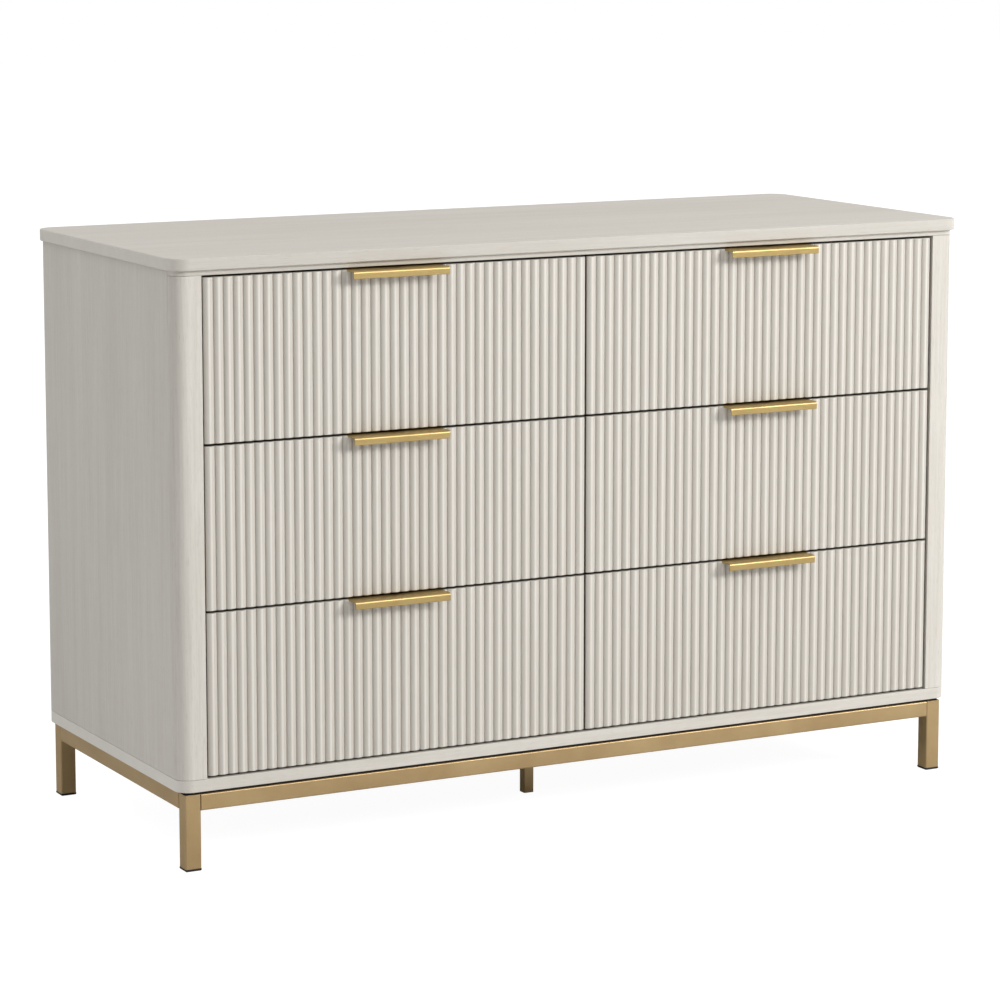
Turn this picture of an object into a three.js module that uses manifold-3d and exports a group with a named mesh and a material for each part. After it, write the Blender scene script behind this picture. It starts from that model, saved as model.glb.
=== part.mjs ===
// Dresser with six drawers in two columns of three, on a square-tube metal base.
//
// Millimetres. X runs along the width, -Y is the front, +Z is up. The origin is the middle
// of the bounding box at floor level, so the dresser stands on Z = 0.
//
// The carcass is a top panel, two side panels, two front corner posts with rounded outer
// corners, a top rail, a bottom panel, a back panel and a centre divider. Each drawer is a
// reeded front, two sides, a back, a bottom and a bent edge pull on the front's top edge.

import * as THREE from 'three';
import Module from 'manifold-3d';

const solids = await Module();
solids.setup();

// Overall size
const WIDTH = 1200;
const HEIGHT = 793;
const BODY_DEPTH = 474;
const TOP_OVERHANG = 6;
const PULL_PROJECTION = 20;
const FIT = 0.3;

// Carcass boards
const BOARD = 16;
const BACK_THICKNESS = 6;
const BODY_CORNER_RADIUS = 20;
const REAR_STILE = 24;
const TOP_EASE = 1.5;
const BOTTOM_EASE = 1;
const POST_WIDTH = 38;
const POST_RETURN = 40;
const RAIL_THICKNESS = 6.7;
const RAIL_RETURN = 40;
const BATTEN_DEPTH = 40;

// Drawers
const COLUMNS = ['left', 'right'];
const ROWS = ['bottom', 'middle', 'top'];
const GAP = 3;
const FRONT_THICKNESS = 20;
const REEDS = 40;
const REED_RISE = 3;
const REED_STEPS = 4;
const RUNNER_SPACE = 13;
const BOX_DEPTH = 400;
const BOX_HEIGHT = 150;
const BOX_LIFT = 20;
const BOX_BOARD = 12;
const BOX_BOTTOM = 5;
const GROOVE_DEPTH = 6;
const GROOVE_LIFT = 10;

// Edge pulls
const PULL_LENGTH = 138;
const PULL_OUTWARD_OFFSET = 6;
const PULL_SHEET = 1.8;
const PULL_LIP = 10.5;
const PULL_BEND = 3.5;
const PULL_FLANGE = 25;
const PULL_BEND_STEPS = 4;
const NOTCH_DEPTH = PULL_SHEET + FIT;

// Metal base
const BASE_HEIGHT = 101;
const SHADOW_GAP = 4;
const SPACER_INSET = 3;
const TUBE = 22;
const TUBE_WALL = 1.5;
const TUBE_CORNER = 2;
const BASE_SIDE_INSET = 9;
const BASE_END_INSET = 5;
const CENTRE_TUBE = 15;
const CENTRE_LEG_SETBACK = 160;
const FOOT_HEIGHT = 3;
const FOOT_CHAMFER = 1.2;
const FOOT_PLUG = 15;

// Steps of the rounded corners
const LARGE_CORNER_STEPS = 12;
const SMALL_CORNER_STEPS = 3;
const EASE_STEPS = 3;

// Planes worked out from the sizes above
const FRONT = -(BODY_DEPTH + PULL_PROJECTION) / 2 + PULL_PROJECTION;
const BACK = FRONT + BODY_DEPTH;
const BODY_HALF = WIDTH / 2 - TOP_OVERHANG;
const PANEL_INNER = BODY_HALF - BOARD;
const STILE_INNER = BODY_HALF - REAR_STILE;
const OPENING_HALF = BODY_HALF - POST_WIDTH;
const BACK_PANEL_FRONT = BACK - BACK_THICKNESS;
const BOTTOM_LOW = BASE_HEIGHT + SHADOW_GAP;
const BOTTOM_TOP = BOTTOM_LOW + BOARD;
const TOP_LOW = HEIGHT - BOARD;
const RAIL_LOW = TOP_LOW - RAIL_THICKNESS;
const ROW_PITCH = (RAIL_LOW - BOTTOM_TOP - GAP) / ROWS.length;
const FRONT_HEIGHT = ROW_PITCH - GAP;
const FRONT_BACK = FRONT + FRONT_THICKNESS;
const POST_BACK = FRONT_BACK + POST_RETURN;
const RAIL_BACK = FRONT_BACK + RAIL_RETURN;
const BOX_INNER_SIDE = BOARD / 2 + RUNNER_SPACE;
const BOX_OUTER_SIDE = OPENING_HALF - RUNNER_SPACE;
const BASE_HALF = BODY_HALF - BASE_SIDE_INSET;
const BASE_FRONT = FRONT + BASE_END_INSET;
const BASE_BACK = BACK - BASE_END_INSET;
const BASE_RAIL_LOW = BASE_HEIGHT - TUBE;

const QUARTER_TURN = Math.PI / 2;

// Materials

function paintedWood() {
  return new THREE.MeshStandardMaterial({ color: '#cfcbc3', roughness: 0.55, metalness: 0 });
}

function drawerPlywood() {
  return new THREE.MeshStandardMaterial({ color: '#d8c7a8', roughness: 0.6, metalness: 0 });
}

function hardboard() {
  return new THREE.MeshStandardMaterial({ color: '#c8c2b8', roughness: 0.7, metalness: 0 });
}

function brushedBrass() {
  return new THREE.MeshStandardMaterial({ color: '#c2a878', roughness: 0.35, metalness: 1 });
}

function goldPaint() {
  return new THREE.MeshStandardMaterial({ color: '#a98f63', roughness: 0.45, metalness: 0.7 });
}

function blackPlastic() {
  return new THREE.MeshStandardMaterial({ color: '#1b1b1b', roughness: 0.6, metalness: 0 });
}

// Outlines, as lists of points

function arc(centreA, centreB, radius, from, to, steps) {
  return Array.from({ length: steps + 1 }, (_, i) => {
    const angle = from + ((to - from) * i) / steps;
    return [centreA + radius * Math.cos(angle), centreB + radius * Math.sin(angle)];
  });
}

function shape(points, holes = []) {
  const vector = ([a, b]) => new THREE.Vector2(a, b);
  const result = new THREE.Shape(points.map(vector));
  result.holes = holes.map((hole) => new THREE.Path(hole.map(vector)));
  return result;
}

function rectangle(a0, a1, b0, b1) {
  return [[a0, b0], [a1, b0], [a1, b1], [a0, b1]];
}

// A board of the given half width from front (low Y) to back, with four rounded corners.
function roundedBoard(halfWidth, front, back, radius) {
  const x = halfWidth - radius;
  const frontY = front + radius;
  const backY = back - radius;
  return [[x, frontY], [x, backY], [-x, backY], [-x, frontY]].flatMap(([a, b], i) =>
    arc(a, b, radius, (i - 1) * QUARTER_TURN, i * QUARTER_TURN, LARGE_CORNER_STEPS));
}

function squareTube(size) {
  const half = size / 2;
  const centre = half - TUBE_CORNER;
  const bore = half - TUBE_WALL;
  const corners = [[centre, -centre], [centre, centre], [-centre, centre], [-centre, -centre]];
  const outside = corners.flatMap(([a, b], i) =>
    arc(a, b, TUBE_CORNER, (i - 1) * QUARTER_TURN, i * QUARTER_TURN, SMALL_CORNER_STEPS));
  return shape(outside, [rectangle(-bore, bore, -bore, bore)]);
}

// Solids

function mesh(name, material, geometry) {
  const result = new THREE.Mesh(geometry, material);
  result.name = name;
  return result;
}

// A plan outline raised from z0 to z1, with its top and bottom edges eased.
function raised(name, material, outline, z0, z1, ease = 0) {
  const geometry = new THREE.ExtrudeGeometry(outline, {
    depth: z1 - z0 - 2 * ease,
    bevelEnabled: ease > 0,
    bevelThickness: ease,
    bevelSize: ease,
    bevelOffset: -ease,
    bevelSegments: EASE_STEPS,
  });
  const result = mesh(name, material, geometry);
  result.position.z = z0 + ease;
  return result;
}

// An outline in (Y, Z) swept along X from x0 to x1.
function sweptAlongX(name, material, outline, x0, x1) {
  const geometry = new THREE.ExtrudeGeometry(outline, { depth: x1 - x0, bevelEnabled: false });
  const result = mesh(name, material, geometry);
  const axes = new THREE.Matrix4().makeBasis(
    new THREE.Vector3(0, 1, 0), new THREE.Vector3(0, 0, 1), new THREE.Vector3(1, 0, 0));
  result.quaternion.setFromRotationMatrix(axes);
  result.position.x = x0;
  return result;
}

// An outline in (X, Z) swept along Y from y0 to y1.
function sweptAlongY(name, material, outline, y0, y1) {
  const geometry = new THREE.ExtrudeGeometry(outline, { depth: y1 - y0, bevelEnabled: false });
  const result = mesh(name, material, geometry);
  result.rotation.x = QUARTER_TURN;
  result.position.y = y1;
  return result;
}

// A mesh from a manifold solid.
function fromManifold(name, material, solid) {
  const { vertProperties, triVerts } = solid.getMesh();
  const geometry = new THREE.BufferGeometry();
  geometry.setAttribute('position', new THREE.BufferAttribute(vertProperties, 3));
  geometry.setIndex(new THREE.BufferAttribute(triVerts, 1));
  geometry.computeVertexNormals();
  return mesh(name, material, geometry);
}

function slab(name, material, [x0, x1], [y0, y1], [z0, z1]) {
  return raised(name, material, shape(rectangle(x0, x1, y0, y1)), z0, z1);
}

// Carcass

function topPanel() {
  const radius = BODY_CORNER_RADIUS + TOP_OVERHANG;
  const outline = roundedBoard(WIDTH / 2, FRONT - TOP_OVERHANG, BACK, radius);
  return raised('top_panel', paintedWood(), shape(outline), TOP_LOW, HEIGHT, TOP_EASE);
}

function bottomPanel() {
  const outline = roundedBoard(BODY_HALF, FRONT, BACK, BODY_CORNER_RADIUS);
  return raised('bottom_panel', paintedWood(), shape(outline), BOTTOM_LOW, BOTTOM_TOP, BOTTOM_EASE);
}

// The rail shows as a thin band under the top panel, round both post corners. Behind the
// posts it is narrower, so that the side panels pass it on their way up to the top panel.
function topRail() {
  const radius = BODY_CORNER_RADIUS;
  const cornerX = BODY_HALF - radius;
  const innerX = PANEL_INNER - FIT;
  const outline = [
    ...arc(cornerX, FRONT + radius, radius, -QUARTER_TURN, 0, LARGE_CORNER_STEPS),
    [innerX, FRONT_BACK],
    [innerX, RAIL_BACK],
    [-innerX, RAIL_BACK],
    [-innerX, FRONT_BACK],
    ...arc(-cornerX, FRONT + radius, radius, 2 * QUARTER_TURN, 3 * QUARTER_TURN, LARGE_CORNER_STEPS),
  ];
  return raised('top_rail', paintedWood(), shape(outline), RAIL_LOW, TOP_LOW - FIT);
}

// The post shows at the front corner. Its return lies inside the side panel and carries
// the front ends of the drawer runners.
function cornerPost(side) {
  const sign = side === 'left' ? -1 : 1;
  const radius = BODY_CORNER_RADIUS;
  const cornerX = BODY_HALF - radius;
  const outline = [
    [OPENING_HALF, FRONT],
    ...arc(cornerX, FRONT + radius, radius, -QUARTER_TURN, 0, LARGE_CORNER_STEPS),
    [PANEL_INNER - FIT, FRONT_BACK],
    [PANEL_INNER - FIT, POST_BACK],
    [OPENING_HALF, POST_BACK],
  ].map(([x, y]) => [sign * x, y]);
  const name = `corner_post_${side}`;
  return raised(name, paintedWood(), shape(outline), BOTTOM_TOP + FIT, RAIL_LOW - FIT);
}

// The panel is rounded at its rear corner, where a stile closes the edge of the back panel.
// A batten in front of the back panel carries the rear ends of the drawer runners.
function sidePanel(side) {
  const sign = side === 'left' ? -1 : 1;
  const radius = BODY_CORNER_RADIUS;
  const battenBack = BACK_PANEL_FRONT - FIT;
  const outline = [
    [BODY_HALF, FRONT_BACK + FIT],
    ...arc(BODY_HALF - radius, BACK - radius, radius, 0, QUARTER_TURN, LARGE_CORNER_STEPS),
    [STILE_INNER, BACK],
    [STILE_INNER, battenBack],
    [OPENING_HALF, battenBack],
    [OPENING_HALF, battenBack - BATTEN_DEPTH],
    [PANEL_INNER, battenBack - BATTEN_DEPTH],
    [PANEL_INNER, FRONT_BACK + FIT],
  ].map(([x, y]) => [sign * x, y]);
  const name = `side_panel_${side}`;
  return raised(name, paintedWood(), shape(outline), BOTTOM_TOP + FIT, TOP_LOW - FIT);
}

function backPanel() {
  const half = STILE_INNER - FIT;
  return slab('back_panel', hardboard(), [-half, half], [BACK_PANEL_FRONT, BACK],
    [BOTTOM_TOP + FIT, TOP_LOW - FIT]);
}

// The divider stands behind the drawer fronts and is notched under the top rail.
function centreDivider() {
  const frontEdge = FRONT_BACK + FIT;
  const backEdge = BACK_PANEL_FRONT - FIT;
  const outline = [
    [frontEdge, BOTTOM_TOP + FIT],
    [backEdge, BOTTOM_TOP + FIT],
    [backEdge, TOP_LOW - FIT],
    [RAIL_BACK + FIT, TOP_LOW - FIT],
    [RAIL_BACK + FIT, RAIL_LOW - FIT],
    [frontEdge, RAIL_LOW - FIT],
  ];
  return sweptAlongX('centre_divider', paintedWood(), shape(outline), -BOARD / 2, BOARD / 2);
}

function carcass() {
  const group = new THREE.Group();
  group.add(topPanel(), topRail(), bottomPanel(), backPanel(), centreDivider());
  for (const side of COLUMNS) {
    group.add(cornerPost(side), sidePanel(side));
  }
  return group;
}

// Drawers

// A drawer front: a row of convex reeds on a flat back. Seen from above, the reeds are arcs
// of one circle that meet in sharp valleys. The top edge has a notch that the pull's plate
// lies in.
function reededFront(name, x0, z0, pullX) {
  const width = OPENING_HALF - GAP * 1.5;
  const pitch = width / REEDS;
  const radius = (pitch * pitch / 4 + REED_RISE * REED_RISE) / (2 * REED_RISE);
  const halfAngle = Math.asin(pitch / 2 / radius);
  const points = [];
  for (let reed = 0; reed < REEDS; reed += 1) {
    const crest = x0 + pitch * (reed + 0.5);
    const from = -QUARTER_TURN - halfAngle;
    const to = -QUARTER_TURN + halfAngle;
    points.push(...arc(crest, FRONT + radius, radius, from, to, REED_STEPS).slice(0, -1));
  }
  points.push([x0 + width, FRONT + REED_RISE], [x0 + width, FRONT_BACK], [x0, FRONT_BACK]);
  const board = solids.Manifold.extrude([points], FRONT_HEIGHT).translate([0, 0, z0]);
  const notchSize = [PULL_LENGTH + 2 * FIT, 2 * FRONT_THICKNESS, 2 * NOTCH_DEPTH];
  const notchPlace = [pullX, (FRONT + FRONT_BACK) / 2, z0 + FRONT_HEIGHT];
  const notch = solids.Manifold.cube(notchSize, true).translate(notchPlace);
  return fromManifold(name, paintedWood(), board.subtract(notch));
}

// The pull is one strip of sheet bent twice: a lip in front, a plate flush in the top edge
// of the drawer front, and a flange screwed to the back of the drawer front.
function edgePull(name, centreX, top) {
  const lipFace = FRONT - PULL_PROJECTION;
  const flangeFace = FRONT_BACK + FIT + PULL_SHEET;
  const bend = PULL_BEND;
  const inner = PULL_BEND - PULL_SHEET;
  const lipBend = [lipFace + bend, top - bend];
  const flangeBend = [flangeFace - bend, top - bend];
  const outline = [
    ...arc(...flangeBend, bend, 0, QUARTER_TURN, PULL_BEND_STEPS),
    ...arc(...lipBend, bend, QUARTER_TURN, 2 * QUARTER_TURN, PULL_BEND_STEPS),
    [lipFace, top - PULL_LIP],
    [lipFace + PULL_SHEET, top - PULL_LIP],
    ...arc(...lipBend, inner, 2 * QUARTER_TURN, QUARTER_TURN, PULL_BEND_STEPS),
    [flangeFace - PULL_SHEET, top - PULL_SHEET],
    [flangeFace - PULL_SHEET, top - PULL_FLANGE],
    [flangeFace, top - PULL_FLANGE],
  ];
  const x0 = centreX - PULL_LENGTH / 2;
  return sweptAlongX(name, brushedBrass(), shape(outline), x0, x0 + PULL_LENGTH);
}

// A drawer side with the groove that holds the bottom. grooveFace is the X of the face
// turned into the drawer, and outward is the direction from it to the outer face.
function boxSide(name, grooveFace, outward, z0) {
  const outer = grooveFace + outward * BOX_BOARD;
  const grooveEnd = grooveFace + outward * GROOVE_DEPTH;
  const grooveLow = z0 + GROOVE_LIFT;
  const grooveTop = grooveLow + BOX_BOTTOM + 2 * FIT;
  const outline = [
    [grooveFace, z0],
    [outer, z0],
    [outer, z0 + BOX_HEIGHT],
    [grooveFace, z0 + BOX_HEIGHT],
    [grooveFace, grooveTop],
    [grooveEnd, grooveTop],
    [grooveEnd, grooveLow],
    [grooveFace, grooveLow],
  ];
  const y0 = FRONT_BACK + FIT;
  return sweptAlongY(name, drawerPlywood(), shape(outline), y0, y0 + BOX_DEPTH);
}

function drawer(column, row, rowIndex) {
  const isLeft = column === 'left';
  const label = `${row}_${column}`;
  const frontX = isLeft ? -OPENING_HALF + GAP : GAP / 2;
  const frontZ = BOTTOM_TOP + GAP + rowIndex * ROW_PITCH;
  const sign = isLeft ? -1 : 1;
  const pullX = sign * (OPENING_HALF / 2 + PULL_OUTWARD_OFFSET);
  const boxX = isLeft ? [-BOX_OUTER_SIDE, -BOX_INNER_SIDE] : [BOX_INNER_SIDE, BOX_OUTER_SIDE];
  const innerX = [boxX[0] + BOX_BOARD, boxX[1] - BOX_BOARD];
  const boxZ = frontZ + BOX_LIFT;
  const boxFront = FRONT_BACK + FIT;
  const boxBack = boxFront + BOX_DEPTH;
  const bottomZ = boxZ + GROOVE_LIFT + FIT;
  const bottomX = [innerX[0] - GROOVE_DEPTH + FIT, innerX[1] + GROOVE_DEPTH - FIT];
  const group = new THREE.Group();
  group.add(
    reededFront(`drawer_front_${label}`, frontX, frontZ, pullX),
    edgePull(`drawer_pull_${label}`, pullX, frontZ + FRONT_HEIGHT),
    boxSide(`drawer_side_a_${label}`, innerX[0], -1, boxZ),
    boxSide(`drawer_side_b_${label}`, innerX[1], 1, boxZ),
    slab(`drawer_back_${label}`, drawerPlywood(), [innerX[0] + FIT, innerX[1] - FIT],
      [boxBack - BOX_BOARD, boxBack], [bottomZ + BOX_BOTTOM + FIT, boxZ + BOX_HEIGHT]),
    slab(`drawer_bottom_${label}`, hardboard(), bottomX, [boxFront, boxBack],
      [bottomZ, bottomZ + BOX_BOTTOM]),
  );
  return group;
}

function drawers() {
  const group = new THREE.Group();
  for (const column of COLUMNS) {
    ROWS.forEach((row, rowIndex) => group.add(drawer(column, row, rowIndex)));
  }
  return group;
}

// Metal base

function uprightTube(name, size, x, y, z0, z1) {
  const result = raised(name, goldPaint(), squareTube(size), z0, z1);
  result.position.x = x;
  result.position.y = y;
  return result;
}

function tubeAlongX(name, y, x0, x1) {
  const result = sweptAlongX(name, goldPaint(), squareTube(TUBE), x0, x1);
  result.position.y = y;
  result.position.z = BASE_RAIL_LOW + TUBE / 2;
  return result;
}

function tubeAlongY(name, x, y0, y1) {
  const result = sweptAlongY(name, goldPaint(), squareTube(TUBE), y0, y1);
  result.position.x = x;
  result.position.z = BASE_RAIL_LOW + TUBE / 2;
  return result;
}

// A square glide with a chamfered rim and a plug that goes up into the leg. Its profile is
// turned in four steps, so a radius here is half of the square's diagonal.
function foot(name, x, y) {
  const diagonal = (width) => (width / 2) * Math.SQRT2;
  const plugWidth = TUBE - 2 * TUBE_WALL - 2 * FIT;
  const profile = [
    [0, 0],
    [diagonal(TUBE - 2 * FOOT_CHAMFER), 0],
    [diagonal(TUBE), FOOT_CHAMFER],
    [diagonal(TUBE), FOOT_HEIGHT],
    [diagonal(plugWidth), FOOT_HEIGHT],
    [diagonal(plugWidth), FOOT_HEIGHT + FOOT_PLUG],
    [0, FOOT_HEIGHT + FOOT_PLUG],
  ].map(([radius, height]) => new THREE.Vector2(radius, height));
  const sides = 4;
  const geometry = new THREE.LatheGeometry(profile, sides, Math.PI / sides);
  const result = mesh(name, blackPlastic(), geometry);
  result.rotation.x = QUARTER_TURN;
  result.position.set(x, y, 0);
  return result;
}

function cornerLegs() {
  const group = new THREE.Group();
  const legX = BASE_HALF - TUBE / 2;
  const places = { front: BASE_FRONT + TUBE / 2, rear: BASE_BACK - TUBE / 2 };
  for (const [end, y] of Object.entries(places)) {
    for (const side of COLUMNS) {
      const x = side === 'left' ? -legX : legX;
      const label = `${end}_${side}`;
      group.add(
        uprightTube(`base_leg_${label}`, TUBE, x, y, FOOT_HEIGHT + FIT, BASE_HEIGHT),
        foot(`foot_${label}`, x, y),
      );
    }
  }
  return group;
}

function base() {
  const group = cornerLegs();
  const between = BASE_HALF - TUBE - FIT;
  const frontY = BASE_FRONT + TUBE / 2;
  const rearY = BASE_BACK - TUBE / 2;
  const sideX = BASE_HALF - TUBE / 2;
  const clearOfLegs = [BASE_FRONT + TUBE + FIT, BASE_BACK - TUBE - FIT];
  const spacerHalf = BASE_HALF - SPACER_INSET;
  group.add(
    tubeAlongX('base_rail_front', frontY, -between, between),
    tubeAlongX('base_rail_rear', rearY, -between, between),
    tubeAlongY('base_rail_left', -sideX, ...clearOfLegs),
    tubeAlongY('base_rail_right', sideX, ...clearOfLegs),
    tubeAlongY('base_cross_rail', 0, ...clearOfLegs),
    uprightTube('base_leg_centre', CENTRE_TUBE, 0, FRONT + CENTRE_LEG_SETBACK + CENTRE_TUBE / 2,
      0, BASE_RAIL_LOW - FIT),
    slab('base_spacer', blackPlastic(), [-spacerHalf, spacerHalf],
      [BASE_FRONT + SPACER_INSET, BASE_BACK - SPACER_INSET],
      [BASE_HEIGHT + FIT, BOTTOM_LOW - FIT]),
  );
  return group;
}

const dresser = new THREE.Group();
dresser.add(carcass(), drawers(), base());

export default dresser;
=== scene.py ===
import math

import bmesh
import bpy
from mathutils import Matrix, Vector


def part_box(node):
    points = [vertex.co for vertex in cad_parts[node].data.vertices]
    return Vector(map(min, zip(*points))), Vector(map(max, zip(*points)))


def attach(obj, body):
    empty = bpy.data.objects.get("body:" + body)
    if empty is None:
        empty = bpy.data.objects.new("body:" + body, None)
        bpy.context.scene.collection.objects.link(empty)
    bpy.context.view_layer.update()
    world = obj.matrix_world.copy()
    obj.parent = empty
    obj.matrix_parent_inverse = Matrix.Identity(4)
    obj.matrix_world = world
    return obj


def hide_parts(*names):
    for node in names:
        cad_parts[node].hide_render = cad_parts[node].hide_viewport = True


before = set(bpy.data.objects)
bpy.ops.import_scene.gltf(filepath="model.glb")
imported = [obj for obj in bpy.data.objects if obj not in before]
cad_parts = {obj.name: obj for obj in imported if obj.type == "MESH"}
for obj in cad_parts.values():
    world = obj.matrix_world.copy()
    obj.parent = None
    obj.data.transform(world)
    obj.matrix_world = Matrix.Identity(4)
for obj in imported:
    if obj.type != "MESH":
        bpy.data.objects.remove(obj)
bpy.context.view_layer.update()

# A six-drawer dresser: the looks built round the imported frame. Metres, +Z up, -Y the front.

ROOT = "carcass"
ROWS = ("bottom", "middle", "top")
COLUMNS = ("left", "right")
DRAWERS = [f"{row}_{column}" for column in COLUMNS for row in ROWS]
MM = 0.001
QUARTER_TURN = math.pi / 2

# Camera: millimetres for the lens, metres for the place, degrees for the turns
SENSOR = 36.0
LENS = 128.3
SHIFT_Y = -0.10
CAMERA_PLACE = (-2.315, -4.337, 1.250)
CAMERA_YAW = 27.984
CAMERA_PITCH = 8.147
CAMERA_REACH = 200.0

# Edges of boards and tubes, rounded over in steps
BOARD_EASE = 0.4 * MM
DIVIDER_EASE = 0.5 * MM
HARDBOARD_EASE = 0.3 * MM
BOX_EASE = 1.0 * MM
TUBE_EASE = 0.15 * MM
PLASTIC_EASE = 0.3 * MM
BOARD_STEPS = 3
METAL_STEPS = 2
WELD_DISTANCE = 0.01 * MM
FLAT_ANGLE = math.radians(0.5)
SHARP_ANGLE = math.radians(40)
SMOOTH_ANGLE = math.radians(35)

# Reeded fronts
REEDS = 40
REED_RISE = 3.0 * MM
REED_STEPS = 12
QUIRK_WIDTH = 0.9 * MM
QUIRK_DEPTH = 0.7 * MM
END_EASE = 1.2 * MM
END_STEPS = 4

# Edge pulls
PULL_SHEET = 1.8 * MM
PULL_LIP = 10.5 * MM
PULL_BEND = 3.5 * MM
PULL_STEPS = 10
PULL_EDGE = 0.35 * MM
NOTCH_DEPTH = 2.1 * MM
NOTCH_GAP = 0.3 * MM

# Drawer boxes
BOX_BOARD = 12.0 * MM
BOX_PLIES = 9

# Runners. A member is the (half height, reach, sheet, lip) of its channel.
RUNNER_SPACE = 13.0 * MM
RUNNER_SETBACK = 3.0 * MM
RUNNER_SHEET = 1.2 * MM
RUNNER_EDGE = 0.25 * MM
FIXED_MEMBER = (22.5 * MM, 9.6 * MM, RUNNER_SHEET, 4.0 * MM)
MOVING_MEMBER = (15.5 * MM, 9.6 * MM, RUNNER_SHEET, 3.0 * MM)

# Screw heads: the radius of each kind, and how far the end ones stand from an edge. The back
# panel's heads are sunk into it. A well is a share of the radius.
SCREW_SIDES = 20
SCREWS_IN_ROW = 3
SCREW_WELL = 0.25
RUNNER_SCREW = 3.4 * MM
RUNNER_SCREW_INSET = 30.0 * MM
PULL_SCREW = 3.6 * MM
PULL_SCREW_INSET = 22.0 * MM
PULL_SCREW_LIFT = 9.0 * MM
BACK_SCREW = 3.2 * MM
BACK_SCREW_INSET = 9.0 * MM
BACK_SCREW_SINK = 1.9 * MM
BACK_SCREWS_ACROSS = 9
BACK_SCREWS_UP = 6

# Studio floor and air
FLOOR_SIZE = 40.0
FLOOR_SHADE = 0.20
FLOOR_GLOW = 0.95
BOUNCE_SHADE = 0.72
BOUNCE_DROP = 1.0 * MM
BRIGHT_SIDE = (-0.62, 0.70, 0.35)
AIR_DIM = 0.24
AIR_BRIGHT = 1.00
DARK_SIDE = (-0.80, -0.60, 0.0)
DARK_SHARE = 0.6
DARK_EDGE = (0.55, 0.95)

# Softboxes: name, place, size and watts
LIGHT_TARGET = (0.0, -0.2, 0.4)
SOFTBOXES = (
    ("key_light", (3.4, -4.2, 2.6), (1.4, 1.4), 185.0),
    ("front_light", (1.2, -4.8, 3.6), (2.2, 1.6), 74.0),
)


# ---------------------------------------------------------------- shader nodes


class Shader:
    """A material's node tree, with short calls for the nodes used here."""

    def __init__(self, name):
        self.material = bpy.data.materials.new(name)
        self.material.use_nodes = True
        self.tree = self.material.node_tree
        self.surface = self.tree.nodes["Principled BSDF"]

    def node(self, kind, settings=None, **inputs):
        made = self.tree.nodes.new(kind)
        for key, value in (settings or {}).items():
            setattr(made, key, value)
        for key, value in inputs.items():
            self.feed(made, key.replace("_", " "), value)
        return made

    def feed(self, node, socket, value):
        target = node.inputs[socket]
        if isinstance(value, bpy.types.NodeSocket):
            self.tree.links.new(value, target)
        else:
            target.default_value = value

    def math(self, operation, a, b=0.0):
        made = self.node("ShaderNodeMath", {"operation": operation})
        self.feed(made, 0, a)
        self.feed(made, 1, b)
        return made.outputs[0]

    def coordinates(self, scale, offset=(0, 0, 0)):
        place = self.node("ShaderNodeTexCoord").outputs["Object"]
        mapped = self.node("ShaderNodeMapping", Vector=place, Scale=scale, Location=offset)
        return mapped.outputs["Vector"]

    def along(self, output, axis):
        """One component of the place ("Object") or of the facing ("Normal")."""
        vector = self.node("ShaderNodeTexCoord").outputs[output]
        return self.node("ShaderNodeSeparateXYZ", Vector=vector).outputs[axis]

    def turned_to(self, axis):
        """1 on a face that looks along an axis either way, 0 on a face that runs along it."""
        return self.math("ABSOLUTE", self.along("Normal", axis))

    def noise(self, vector, detail=4.0, roughness=0.55, distortion=0.0):
        made = self.node("ShaderNodeTexNoise", Vector=vector, Scale=1.0, Detail=detail,
                         Roughness=roughness, Distortion=distortion)
        return made.outputs["Fac"]

    def ramp(self, value, low, high, to_low=0.0, to_high=1.0):
        made = self.node("ShaderNodeMapRange", {"clamp": True})
        self.feed(made, "Value", value)
        self.feed(made, "From Min", low)
        self.feed(made, "From Max", high)
        self.feed(made, "To Min", to_low)
        self.feed(made, "To Max", to_high)
        return made.outputs["Result"]

    def mix(self, factor, a, b):
        """Colour a at factor 0 and b at 1. The mix node's sockets share their names between
        data types, so the colour ones are found by number."""
        made = self.node("ShaderNodeMix", {"data_type": "RGBA"})
        self.feed(made, "Factor", factor)
        for index, value in ((6, a), (7, b)):
            self.feed(made, index, value)
        return made.outputs[2]

    def bump(self, height, distance):
        made = self.node("ShaderNodeBump", Height=height, Distance=distance, Strength=1.0)
        return made.outputs["Normal"]

    def finish(self, color, roughness, normal=None, **fixed):
        self.feed(self.surface, "Base Color", color)
        self.feed(self.surface, "Roughness", roughness)
        if normal is not None:
            self.feed(self.surface, "Normal", normal)
        for key, value in fixed.items():
            self.surface.inputs[key.replace("_", " ")].default_value = value
        return self.material


def srgb(red, green, blue):
    """A colour given as the 0 to 255 values of a screen, as linear light."""
    def linear(value):
        share = value / 255
        return share / 12.92 if share <= 0.04045 else ((share + 0.055) / 1.055) ** 2.4
    return (linear(red), linear(green), linear(blue), 1.0)


def stretched(axis, along, across):
    """Texture scales, in features per metre, of a grain that runs along one axis."""
    return tuple(along if name == axis else across for name in "XYZ")


# ---------------------------------------------------------------- painted oak

PAINT_LOW = srgb(197, 191, 181)
PAINT_HIGH = srgb(214, 210, 202)
PORE = srgb(172, 164, 152)
# Painted shade for the long edges of level boards, and painted light for their end edges
PAINTED_EDGE_SHADE = srgb(0, 0, 0)
PAINTED_EDGE_LIGHT = srgb(238, 234, 227)
# Painted highlight for the reeds' crests, and painted shade for their flanks and grooves
PAINTED_CREST_HIGHLIGHT = srgb(224, 219, 210)
PAINTED_GROOVE_SHADE = srgb(179, 173, 163)
# Painted shade for the front's edges in the gaps between drawers
PAINTED_GAP_SHADE = srgb(108, 101, 92)

# Share of a reed's rise that carries a painted highlight, and where the painted gap shade on the
# edges starts behind it
CREST_BAND = 0.08
GAP_SHADE_SETBACK = 1.0 * MM
GAP_SHADE_FADE = 1.5 * MM

# A sheen is (smoothest roughness, roughest roughness, specular level)
SATIN_SHEEN = (0.36, 0.50, 0.6)
MATTE_SHEEN = (0.62, 0.74, 0.35)


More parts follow.
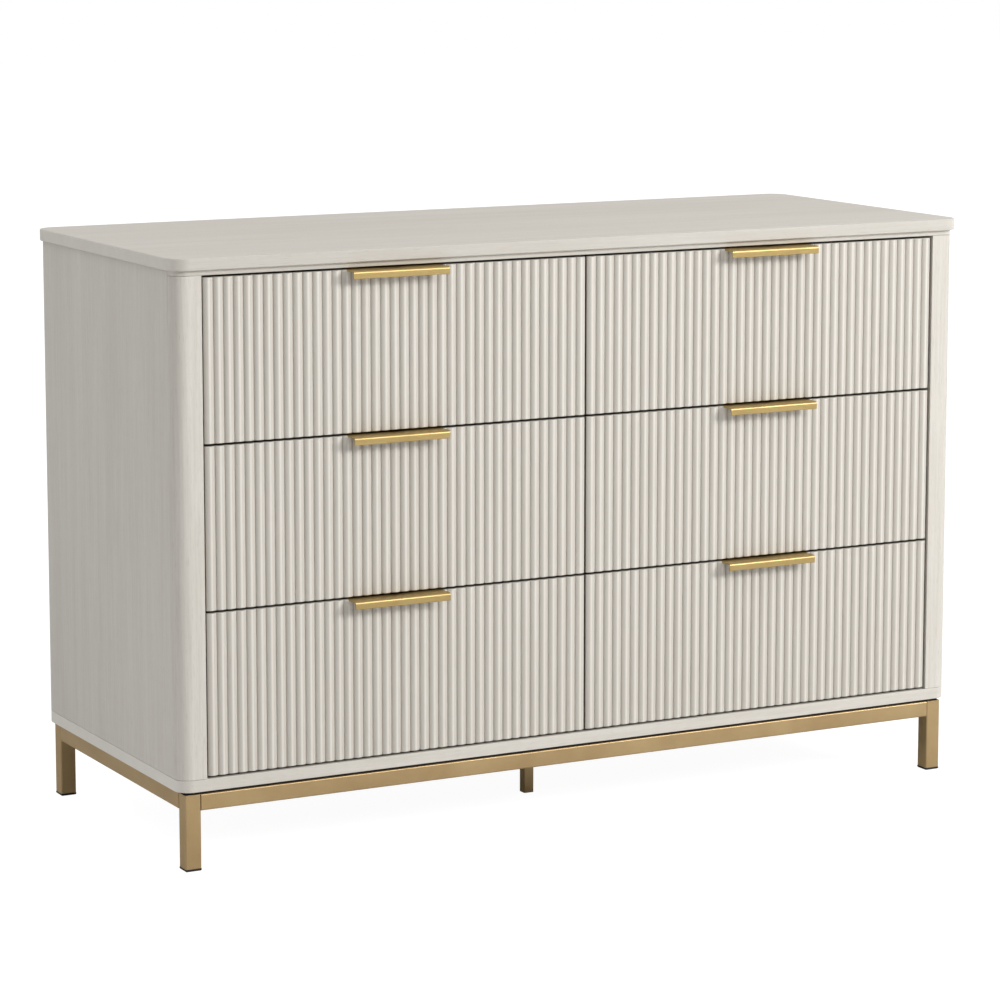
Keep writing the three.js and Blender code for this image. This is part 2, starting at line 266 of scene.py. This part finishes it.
def oak_grain(s, axis, seed, grain=1.0):
    """Oak under a thin light warm-grey paint: faint streaks and fine open pores, both scaled
    by grain. Gives the colour, the streaks and the pores."""
    offset = (seed * 1.7, seed * 2.3, seed * 3.1)

    def pattern(along, across, **settings):
        return s.noise(s.coordinates(stretched(axis, along, across), offset), **settings)

    boards = pattern(0.9, 7, detail=3.0)
    figure = pattern(2.2, 42, detail=5.0, distortion=0.6)
    streaks = pattern(7, 330, detail=6.0, roughness=0.65)
    pores = s.ramp(pattern(55, 1500, detail=2.0), 0.60, 0.72)
    tone = s.math("ADD", s.math("MULTIPLY", boards, 0.30), s.math("MULTIPLY", figure, 0.35))
    tone = s.math("ADD", tone, s.math("MULTIPLY", streaks, 0.50 * grain))
    rise = 0.25 * (grain - 1.0)
    color = s.mix(s.ramp(tone, 0.36 + rise, 0.80 + rise), PAINT_LOW, PAINT_HIGH)
    color = s.mix(s.math("MULTIPLY", pores, 0.35 * grain), color, PORE)
    return color, streaks, pores


def oak_finish(s, color, streaks, pores, sheen):
    smoothest, roughest, specular = sheen
    height = s.math("SUBTRACT", s.math("MULTIPLY", streaks, 0.5), pores)
    return s.finish(color, s.ramp(streaks, 0.3, 0.7, smoothest, roughest),
                    s.bump(height, 0.06 * MM), Specular_IOR_Level=specular)


def upright_oak(name, seed):
    """For the sides, posts and divider, whose grain runs upright and shows most."""
    s = Shader(name)
    color, streaks, pores = oak_grain(s, "Z", seed, grain=1.5)
    return oak_finish(s, color, streaks, pores, SATIN_SHEEN)


def level_oak(name, seed, long_edge_shade, end_edge_light):
    """For a board that lies flat, which is more matte. Its long edges get a painted shade,
    and its end edges a painted light, by the two shares."""
    s = Shader(name)
    color, streaks, pores = oak_grain(s, "X", seed)
    # Painted shade on the edges that face front and back, painted light on the edges that face
    # the sides
    for axis, share, tint in (("Y", long_edge_shade, PAINTED_EDGE_SHADE), ("X", end_edge_light, PAINTED_EDGE_LIGHT)):
        color = s.mix(s.ramp(s.turned_to(axis), 0.4, 0.9, 0.0, share), color, tint)
    return oak_finish(s, color, streaks, pores, MATTE_SHEEN)


def reeded_oak(name, seed, crest):
    """For a drawer front whose reeds stand out to the plane Y = crest. The crests carry a
    painted highlight, and painted shade darkens the flanks down to the grooves. The edges
    behind the reeds that face sideways, up or down carry painted shade for the dark gaps between
    drawers."""
    s = Shader(name)
    color, streaks, pores = oak_grain(s, "Z", seed)
    depth = s.along("Object", "Y")
    shallow = crest + REED_RISE * CREST_BAND
    valley = crest + REED_RISE
    # thickness runs from the painted highlight on the crests to the painted shade on the flanks
    # and in the grooves
    thickness = s.math("ADD", s.ramp(depth, crest, shallow, 0.0, 0.85),
                       s.ramp(depth, shallow, valley, 0.0, 0.15))
    color = s.mix(thickness, s.mix(0.7, color, PAINTED_CREST_HIGHLIGHT), s.mix(0.5, color, PAINTED_GROOVE_SHADE))
    # Behind the reeds, the edges that face sideways, up or down get painted shade for the dark
    # gaps between drawers
    sealed = valley + GAP_SHADE_SETBACK
    edge = s.math("MULTIPLY", s.ramp(depth, sealed, sealed + GAP_SHADE_FADE),
                  s.ramp(s.turned_to("Y"), 0.4, 0.6, 1.0, 0.0))
    return oak_finish(s, s.mix(edge, color, PAINTED_GAP_SHADE), streaks, pores, SATIN_SHEEN)


# ---------------------------------------------------------------- other materials


def brushed_brass():
    """Pale brass with fine brush lines along X and faint cloudiness from handling."""
    s = Shader("brushed_brass")
    lines = s.noise(s.coordinates((14, 2600, 2600)), detail=4.0, roughness=0.7)
    clouds = s.noise(s.coordinates((30, 60, 60)), detail=3.0)
    color = s.mix(lines, srgb(181, 155, 100), srgb(199, 175, 122))
    color = s.mix(s.ramp(clouds, 0.45, 0.75, 0.0, 0.35), color, srgb(167, 142, 90))
    roughness = s.math("ADD", s.ramp(lines, 0.3, 0.7, 0.38, 0.48),
                       s.ramp(clouds, 0.4, 0.7, 0.0, 0.08))
    return s.finish(color, roughness, s.bump(lines, 0.02 * MM), Metallic=1.0, Anisotropic=0.4)


def gold_base_metal():
    """Steel tube with a matte gold finish: a fine sprayed texture and a soft metal sheen."""
    s = Shader("gold_base_metal")
    spray = s.noise(s.coordinates((1400, 1400, 1400)), detail=2.0)
    clouds = s.noise(s.coordinates((9, 9, 9)), detail=3.0)
    color = s.mix(s.ramp(clouds, 0.35, 0.65), srgb(175, 148, 107), srgb(189, 163, 120))
    color = s.mix(s.ramp(spray, 0.55, 0.75, 0.0, 0.3), color, srgb(206, 185, 147))
    roughness = s.ramp(spray, 0.35, 0.65, 0.40, 0.50)
    return s.finish(color, roughness, s.bump(spray, 0.03 * MM), Metallic=0.85)


def black_plastic():
    s = Shader("black_plastic")
    grain = s.noise(s.coordinates((900, 900, 900)), detail=3.0)
    color = s.mix(grain, srgb(16, 16, 16), srgb(30, 30, 30))
    return s.finish(color, s.ramp(grain, 0.3, 0.7, 0.5, 0.7), s.bump(grain, 0.05 * MM))


def birch_plywood(name, axis, edge_axis):
    """Clear-sealed birch plywood. The faces show a soft grain along one axis; on the edges
    the plies show as light and dark lines across the board's thickness."""
    s = Shader(name)
    figure = s.noise(s.coordinates(stretched(axis, 1.5, 22)), detail=4.0, distortion=0.8)
    fibres = s.noise(s.coordinates(stretched(axis, 14, 700)), detail=5.0, roughness=0.6)
    face = s.mix(figure, srgb(214, 190, 152), srgb(230, 211, 178))
    face = s.mix(s.ramp(fibres, 0.5, 0.8, 0.0, 0.4), face, srgb(196, 168, 126))
    across = s.math("MULTIPLY", s.along("Object", edge_axis), BOX_PLIES * math.pi / BOX_BOARD)
    stripe = s.ramp(s.math("SINE", across), -0.3, 0.3)
    edge = s.mix(stripe, srgb(176, 140, 98), srgb(222, 198, 160))
    is_edge = s.ramp(s.turned_to(edge_axis), 0.3, 0.7, 1.0, 0.0)
    color = s.mix(is_edge, face, edge)
    return s.finish(color, s.ramp(fibres, 0.3, 0.7, 0.42, 0.55), s.bump(fibres, 0.05 * MM))


def faced_hardboard(name, axis):
    """Thin board with a smooth light-grey wood-print facing."""
    s = Shader(name)
    figure = s.noise(s.coordinates(stretched(axis, 2, 30)), detail=4.0, distortion=0.5)
    fibres = s.noise(s.coordinates(stretched(axis, 20, 600)), detail=4.0)
    color = s.mix(figure, srgb(196, 190, 180), srgb(210, 205, 196))
    color = s.mix(s.ramp(fibres, 0.5, 0.75, 0.0, 0.3), color, srgb(180, 173, 161))
    return s.finish(color, s.ramp(fibres, 0.3, 0.7, 0.5, 0.62), s.bump(fibres, 0.04 * MM))


def zinc_steel():
    """Zinc-plated strip: bluish grey, with rolling lines along Y and faint spangle."""
    s = Shader("zinc_steel")
    lines = s.noise(s.coordinates((1800, 12, 1800)), detail=3.0)
    spangle = s.node("ShaderNodeTexVoronoi", Vector=s.coordinates((160, 160, 160)), Scale=1.0)
    color = s.mix(s.ramp(spangle.outputs["Distance"], 0.2, 0.8), srgb(176, 180, 184),
                  srgb(196, 199, 202))
    roughness = s.ramp(lines, 0.3, 0.7, 0.28, 0.42)
    return s.finish(color, roughness, s.bump(lines, 0.02 * MM), Metallic=1.0)


def floor_surface(name, shade, glow):
    """A pale studio floor with an even shade and a glow of its own."""
    s = Shader(name)
    s.surface.inputs["Emission Color"].default_value = (1.0, 1.0, 1.0, 1.0)
    s.surface.inputs["Emission Strength"].default_value = glow
    cloud = s.noise(s.coordinates((0.7, 0.7, 0.7)), detail=2.0)
    paler = shade + 0.02
    color = s.mix(cloud, (shade, shade, shade, 1.0), (paler, paler, paler, 1.0))
    return s.finish(color, 0.9, Specular_IOR_Level=0.1)


# ---------------------------------------------------------------- mesh helpers


def new_piece(name, mesh_data, material, smooth_angle=SMOOTH_ANGLE):
    piece = bpy.data.objects.new(name, mesh_data)
    bpy.context.scene.collection.objects.link(piece)
    mesh_data.materials.clear()
    mesh_data.materials.append(material)
    for polygon in mesh_data.polygons:
        polygon.material_index = 0
    mesh_data.shade_smooth()
    mesh_data.set_sharp_from_angle(angle=smooth_angle)
    weighted = piece.modifiers.new("weighted_normals", "WEIGHTED_NORMAL")
    weighted.keep_sharp = True
    return piece


def mesh_from(name, build):
    """A mesh that build(bm) fills."""
    bm = bmesh.new()
    build(bm)
    bmesh.ops.recalc_face_normals(bm, faces=bm.faces)
    data = bpy.data.meshes.new(name)
    bm.to_mesh(data)
    bm.free()
    return data


def round_over(bm, width, steps):
    """Rounds the sharp edges over."""
    sharp = [edge for edge in bm.edges if edge.calc_face_angle(0) > SHARP_ANGLE]
    bmesh.ops.bevel(bm, geom=sharp, offset=width, segments=steps, profile=0.5,
                    affect="EDGES", clamp_overlap=True)


def settle(piece, body, slot, *nodes):
    """Puts a piece on its body and hides the CAD nodes it stands for. The slot is not used."""
    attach(piece, body)
    if nodes:
        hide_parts(*nodes)
    return piece


def eased_copy(node, name, body, slot, material, ease=0.0, steps=BOARD_STEPS):
    """A finished copy of a CAD node: the same solid with its sharp edges rounded over."""
    def build(bm):
        bm.from_mesh(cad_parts[node].data)
        bmesh.ops.remove_doubles(bm, verts=bm.verts, dist=WELD_DISTANCE)
        bmesh.ops.dissolve_limit(bm, angle_limit=FLAT_ANGLE, verts=bm.verts, edges=bm.edges)
        if ease > 0:
            round_over(bm, ease, steps)

    return settle(new_piece(name, mesh_from(name, build), material), body, slot, node)


def skin_rings(bm, rings):
    """Skins a list of equal closed rings of points with quads. Gives the first and the last
    ring's vertices."""
    made = [[bm.verts.new(point) for point in ring] for ring in rings]
    count = len(made[0])
    for low, high in zip(made, made[1:]):
        for i in range(count):
            j = (i + 1) % count
            bm.faces.new((low[i], low[j], high[j], high[i]))
    return made[0], made[-1]


def swept_solid(bm, rings):
    """A closed solid through a list of equal rings."""
    first, last = skin_rings(bm, rings)
    bm.faces.new(reversed(first))
    bm.faces.new(last)


def spread(first, last, count):
    """Evenly spaced values from first to last."""
    return [first + (last - first) * i / (count - 1) for i in range(count)]


def arc_points(a, b, radius, start, end, steps):
    return [(a + radius * math.cos(angle), b + radius * math.sin(angle))
            for angle in spread(start, end, steps + 1)]


# ---------------------------------------------------------------- carcass


def carcass_pieces():
    upright = {side: upright_oak(f"painted_oak_side_{side}", seed)
               for seed, side in enumerate(COLUMNS, start=3)}
    top = level_oak("painted_oak_top", 1.0, long_edge_shade=0.10, end_edge_light=0.30)
    low = level_oak("painted_oak_low", 2.0, long_edge_shade=0.0, end_edge_light=0.55)
    board = faced_hardboard("faced_hardboard_back", "Z")

    def dress(node, slot, material, ease=0.0):
        eased_copy(node, f"{node}_finish", ROOT, slot, material, ease)

    dress("top_panel", "body_finish", top)
    dress("top_rail", "body_finish", top, BOARD_EASE)
    dress("bottom_panel", "body_finish", low)
    for side in COLUMNS:
        dress(f"side_panel_{side}", "body_finish", upright[side], BOARD_EASE)
        dress(f"corner_post_{side}", "body_finish", upright[side], BOARD_EASE)
    dress("centre_divider", "body_finish", upright["left"], DIVIDER_EASE)
    dress("back_panel", "hardboard", board, HARDBOARD_EASE)


# ---------------------------------------------------------------- metal base


def base_pieces():
    gold = gold_base_metal()
    black = black_plastic()
    for node in sorted(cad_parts):
        if node.startswith(("base_leg", "base_rail", "base_cross")):
            eased_copy(node, f"{node}_finish", ROOT, "base_metal", gold, TUBE_EASE,
                       METAL_STEPS)
        # The black spacer sheets hold the carcass off the frame; their black also stands in as
        # painted shade for the dark gap between the two
        elif node.startswith(("foot", "base_spacer")):
            eased_copy(node, f"{node}_finish", ROOT, "black_plastic", black,
                       PLASTIC_EASE, METAL_STEPS)


# ---------------------------------------------------------------- drawer fronts


def reed_profile(x0, width, crest_y):
    """The front's surface seen from above, as (x, y) points from left to right: convex
    reeds, arcs of one circle, with a narrow groove between neighbours."""
    pitch = width / REEDS
    radius = (pitch * pitch / 4 + REED_RISE ** 2) / (2 * REED_RISE)
    half_angle = math.asin((pitch - QUIRK_WIDTH) / 2 / radius)
    points = [(x0, crest_y + REED_RISE)]
    for reed in range(REEDS):
        middle = x0 + pitch * (reed + 0.5)
        for angle in spread(-half_angle, half_angle, REED_STEPS + 1):
            depth = radius * (1 - math.cos(angle))
            points.append((middle + radius * math.sin(angle), crest_y + depth))
        if reed < REEDS - 1:
            points.append((middle + pitch / 2, crest_y + REED_RISE + QUIRK_DEPTH))
    points.append((x0 + width, crest_y + REED_RISE))
    return points


def ease_steps(low, high, ease, steps):
    """(height, inset) pairs up a board's face whose two ends are rounded over."""
    turn = spread(0.0, QUARTER_TURN, steps + 1)
    bottom = [(low + ease * (1 - math.sin(a)), ease * (1 - math.cos(a))) for a in turn]
    top = [(high - z + low, inset) for z, inset in bottom]
    return list(reversed(bottom)) + top


def notched(data, low, high):
    """A mesh with the block between two corners cut out of it."""
    scene = bpy.context.scene
    board = bpy.data.objects.new("board", data)
    block = mesh_from("block", lambda bm: bmesh.ops.create_cube(
        bm, size=1.0, matrix=Matrix.LocRotScale((low + high) / 2, None, high - low)))
    cutter = bpy.data.objects.new("cutter", block)
    for part in (board, cutter):
        scene.collection.objects.link(part)
    cut = board.modifiers.new("cut", "BOOLEAN")
    cut.operation = "DIFFERENCE"
    cut.solver = "EXACT"
    cut.object = cutter
    finished = bpy.data.meshes.new_from_object(
        board.evaluated_get(bpy.context.evaluated_depsgraph_get()))
    for part in (board, cutter):
        bpy.data.objects.remove(part)
    return finished


def reeded_front(label, material):
    """A front with rounded ends to its reeds and a notch where its pull lies flush."""
    name = f"reeded_front_{label}"
    node = f"drawer_front_{label}"
    low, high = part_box(node)
    profile = reed_profile(low.x, high.x - low.x, low.y)

    def build(bm):
        rings = []
        for z, inset in ease_steps(low.z, high.z, END_EASE, END_STEPS):
            ring = [(x, y + inset, z) for x, y in profile]
            rings.append(ring + [(high.x, high.y, z), (low.x, high.y, z)])
        swept_solid(bm, rings)

    pull_low, pull_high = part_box(f"drawer_pull_{label}")
    reach = high.y - low.y
    corners = (Vector((pull_low.x - NOTCH_GAP, low.y - reach, high.z - NOTCH_DEPTH)),
               Vector((pull_high.x + NOTCH_GAP, high.y + reach, high.z + reach)))
    board = notched(mesh_from(name, build), *corners)
    settle(new_piece(name, board, material, SHARP_ANGLE), f"drawer_{label}", "body_finish", node)


# ---------------------------------------------------------------- pulls


def pull_outline(low, high):
    """The pull's section in (y, z): a lip, a plate and a flange, bent from one sheet."""
    inner = PULL_BEND - PULL_SHEET
    edge = PULL_SHEET / 2
    lip = (low.y + PULL_BEND, high.z - PULL_BEND)
    flange = (high.y - PULL_BEND, high.z - PULL_BEND)
    lip_end = (low.y + edge, high.z - PULL_LIP + edge)
    flange_end = (high.y - edge, low.z + edge)
    turn = QUARTER_TURN
    return (
        arc_points(*flange, PULL_BEND, 0, turn, PULL_STEPS)
        + arc_points(*lip, PULL_BEND, turn, 2 * turn, PULL_STEPS)
        + arc_points(*lip_end, edge, 2 * turn, 4 * turn, PULL_STEPS // 2)
        + arc_points(*lip, inner, 2 * turn, turn, PULL_STEPS)
        + arc_points(*flange, inner, turn, 0, PULL_STEPS)
        + arc_points(*flange_end, edge, 2 * turn, 4 * turn, PULL_STEPS // 2)
    )


def edge_pull(label, brass):
    """A pull swept along X, with a narrow strip at each end that keeps its shading crisp."""
    name = f"edge_pull_{label}"
    node = f"drawer_pull_{label}"
    low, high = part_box(node)
    outline = pull_outline(low, high)
    stations = (low.x, low.x + PULL_EDGE, high.x - PULL_EDGE, high.x)
    data = mesh_from(name, lambda bm: swept_solid(
        bm, [[(x, y, z) for y, z in outline] for x in stations]))
    settle(new_piece(name, data, brass), f"drawer_{label}", "pull_brass", node)


# ---------------------------------------------------------------- drawers


def drawer_pieces():
    brass = brushed_brass()
    side_ply = birch_plywood("birch_plywood_side", "Y", "X")
    back_ply = birch_plywood("birch_plywood_back", "X", "Y")
    base_board = faced_hardboard("faced_hardboard_drawer", "X")
    for seed, label in enumerate(DRAWERS, start=6):
        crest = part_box(f"drawer_front_{label}")[0].y
        reeded_front(label, reeded_oak(f"painted_oak_front_{label}", seed, crest))
        edge_pull(label, brass)
        for part, slot, material, ease in (
            ("side_a", "drawer_wood", side_ply, BOX_EASE),
            ("side_b", "drawer_wood", side_ply, BOX_EASE),
            ("back", "drawer_wood", back_ply, BOX_EASE),
            ("bottom", "hardboard", base_board, HARDBOARD_EASE),
        ):
            eased_copy(f"drawer_{part}_{label}", f"box_{part}_{label}", f"drawer_{label}",
                       slot, material, ease)


# ---------------------------------------------------------------- runners and screws


def channel(web_face, inward, half_height, reach, sheet, lip):
    """A C-shaped section in (x, z) round z = 0: a web, two flanges and their turned lips.
    inward is the direction, along X, that the flanges point in."""
    far = web_face + inward * reach
    web = web_face + inward * sheet
    inner = half_height - sheet
    turned = far - inward * sheet
    upper = [(web_face, half_height), (far, half_height), (far, half_height - lip),
             (turned, half_height - lip), (turned, inner), (web, inner)]
    return upper + [(x, -z) for x, z in reversed(upper)]


def runner_member(name, body, outline, z, ends, steel):
    """One member of a drawer runner, a section swept along Y."""
    def build(bm):
        swept_solid(bm, [[(x, y, z + dz) for x, dz in outline] for y in ends])
        round_over(bm, RUNNER_EDGE, METAL_STEPS)

    settle(new_piece(name, mesh_from(name, build), steel), body, "runner_steel")


def screw_head(bm, place, direction, radius):
    """A pan head with a recess, standing on place and facing along direction."""
    turn = Vector(direction).to_track_quat("Z", "Y").to_matrix().to_4x4()
    stand = Matrix.Translation(place) @ turn
    slope = ((1.0, 0.0), (1.0, 0.18), (0.92, 0.36), (0.72, 0.50), (0.36, 0.56))
    angles = [2 * math.pi * i / SCREW_SIDES for i in range(SCREW_SIDES)]
    rings = [[stand @ (Vector((math.cos(a) * share, math.sin(a) * share, height)) * radius)
              for a in angles] for share, height in slope]
    rim, top = skin_rings(bm, rings)
    bm.faces.new(reversed(rim))
    well = bm.verts.new(stand @ Vector((0, 0, SCREW_WELL * radius)))
    for i in range(SCREW_SIDES):
        bm.faces.new((top[i], top[(i + 1) % SCREW_SIDES], well))


def screws(name, body, places, direction, radius, steel):
    """A set of like screw heads as one piece."""
    def build(bm):
        for place in places:
            screw_head(bm, place, direction, radius)

    settle(new_piece(name, mesh_from(name, build), steel), body, "runner_steel")


def runner(label, end, outward, steel):
    """The runner at one side of a drawer: its two members and the screws of the moving one."""
    body = f"drawer_{label}"
    low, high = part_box(f"drawer_side_{end}_{label}")
    drawer_face = low.x if outward < 0 else high.x
    case_face = drawer_face + outward * RUNNER_SPACE
    z = (low.z + high.z) / 2
    ends = (low.y + RUNNER_SETBACK, high.y - RUNNER_SETBACK)
    fixed = channel(case_face, -outward, *FIXED_MEMBER)
    moving = channel(drawer_face, outward, *MOVING_MEMBER)
    runner_member(f"runner_fixed_{end}_{label}", ROOT, fixed, z, ends, steel)
    runner_member(f"runner_moving_{end}_{label}", body, moving, z, ends, steel)
    x = drawer_face + outward * RUNNER_SHEET
    near, far = ends[0] + RUNNER_SCREW_INSET, ends[1] - RUNNER_SCREW_INSET
    places = [(x, y, z) for y in spread(near, far, SCREWS_IN_ROW)]
    screws(f"runner_screws_{end}_{label}", body, places, (outward, 0, 0), RUNNER_SCREW, steel)


def pull_screws(label, steel):
    low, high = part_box(f"drawer_pull_{label}")
    z = low.z + PULL_SCREW_LIFT
    left, right = low.x + PULL_SCREW_INSET, high.x - PULL_SCREW_INSET
    places = [(x, high.y, z) for x in spread(left, right, SCREWS_IN_ROW)]
    screws(f"pull_screws_{label}", f"drawer_{label}", places, (0, 1, 0), PULL_SCREW, steel)


def back_screws(steel):
    """Screws round the back panel's edges and up its middle."""
    low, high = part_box("back_panel")
    y = high.y - BACK_SCREW_SINK
    left, right = low.x + BACK_SCREW_INSET, high.x - BACK_SCREW_INSET
    floor, ceiling = low.z + BACK_SCREW_INSET, high.z - BACK_SCREW_INSET
    places = [(x, y, z) for x in spread(left, right, BACK_SCREWS_ACROSS)
              for z in (floor, ceiling)]
    places += [(x, y, z) for z in spread(floor, ceiling, BACK_SCREWS_UP)[1:-1]
               for x in (left, 0.0, right)]
    screws("back_panel_screws", ROOT, places, (0, 1, 0), BACK_SCREW, steel)


def fittings():
    steel = zinc_steel()
    for label in DRAWERS:
        runner(label, "a", -1, steel)
        runner(label, "b", 1, steel)
        pull_screws(label, steel)
    back_screws(steel)


# ---------------------------------------------------------------- studio


def floor_sheet(name, z, shade, glow):
    half = FLOOR_SIZE / 2
    data = bpy.data.meshes.new(name)
    data.from_pydata([(-half, -half, z), (half, -half, z), (half, half, z), (-half, half, z)],
                     [], [(0, 1, 2, 3)])
    sheet = bpy.data.objects.new(name, data)
    bpy.context.scene.collection.objects.link(sheet)
    sheet.data.materials.append(floor_surface(name, shade, glow))
    return sheet


def floors():
    """A pale floor in two sheets: the seen one stays near white, and the one under it throws
    the room's light back up."""
    seen = floor_sheet("floor", 0.0, FLOOR_SHADE, FLOOR_GLOW)
    seen.visible_diffuse = False
    seen.visible_glossy = False
    seen.visible_shadow = False
    bounce = floor_sheet("floor_bounce", -BOUNCE_DROP, BOUNCE_SHADE, 0.0)
    bounce.visible_camera = False


def air():
    """A white room: what it lights grows toward the bright side and falls off in a patch
    round the dark side, while the view itself sees plain white."""
    world = bpy.data.worlds.new("studio_air")
    bpy.context.scene.world = world
    world.use_nodes = True
    tree = world.node_tree
    white = (1.0, 1.0, 1.0, 1.0)
    toward = tree.nodes.new("ShaderNodeTexCoord")

    def along(side):
        made = tree.nodes.new("ShaderNodeVectorMath")
        made.operation = "DOT_PRODUCT"
        made.inputs[1].default_value = Vector(side).normalized()
        tree.links.new(toward.outputs["Generated"], made.inputs[0])
        return made.outputs["Value"]

    def ramp(value, low, high, start, end):
        made = tree.nodes.new("ShaderNodeMapRange")
        for socket, number in zip(("From Min", "From Max", "To Min", "To Max"),
                                  (low, high, start, end)):
            made.inputs[socket].default_value = number
        tree.links.new(value, made.inputs["Value"])
        return made.outputs["Result"]

    strength = tree.nodes.new("ShaderNodeMath")
    strength.operation = "MULTIPLY"
    tree.links.new(ramp(along(BRIGHT_SIDE), -1.0, 1.0, AIR_DIM, AIR_BRIGHT), strength.inputs[0])
    tree.links.new(ramp(along(DARK_SIDE), *DARK_EDGE, 1.0, 1.0 - DARK_SHARE), strength.inputs[1])
    lit = tree.nodes["Background"]
    lit.inputs["Color"].default_value = white
    tree.links.new(strength.outputs[0], lit.inputs["Strength"])
    seen = tree.nodes.new("ShaderNodeBackground")
    seen.inputs["Color"].default_value = white
    seen.inputs["Strength"].default_value = 1.0
    path = tree.nodes.new("ShaderNodeLightPath")
    mix = tree.nodes.new("ShaderNodeMixShader")
    tree.links.new(path.outputs["Is Camera Ray"], mix.inputs[0])
    tree.links.new(lit.outputs[0], mix.inputs[1])
    tree.links.new(seen.outputs[0], mix.inputs[2])
    tree.links.new(mix.outputs[0], tree.nodes["World Output"].inputs["Surface"])


def softbox(name, place, size, power):
    light = bpy.data.lights.new(name, "AREA")
    light.shape = "RECTANGLE"
    light.size, light.size_y = size
    light.energy = power
    lamp = bpy.data.objects.new(name, light)
    lamp.location = place
    aim = Vector(LIGHT_TARGET) - Vector(place)
    lamp.rotation_euler = aim.to_track_quat("-Z", "Y").to_euler()
    bpy.context.scene.collection.objects.link(lamp)


def camera():
    data = bpy.data.cameras.new("camera")
    data.sensor_width = SENSOR
    data.lens = LENS
    data.shift_y = SHIFT_Y
    data.clip_end = CAMERA_REACH
    eye = bpy.data.objects.new("camera", data)
    eye.location = CAMERA_PLACE
    yaw = Matrix.Rotation(-math.radians(CAMERA_YAW), 4, "Z")
    tilt = Matrix.Rotation(math.radians(90.0 - CAMERA_PITCH), 4, "X")
    eye.rotation_euler = (yaw @ tilt).to_euler()
    bpy.context.scene.collection.objects.link(eye)
    bpy.context.scene.camera = eye


bpy.context.scene.view_settings.view_transform = "Standard"
camera()
floors()
air()
for box in SOFTBOXES:
    softbox(*box)
carcass_pieces()
base_pieces()
drawer_pieces()
fittings()
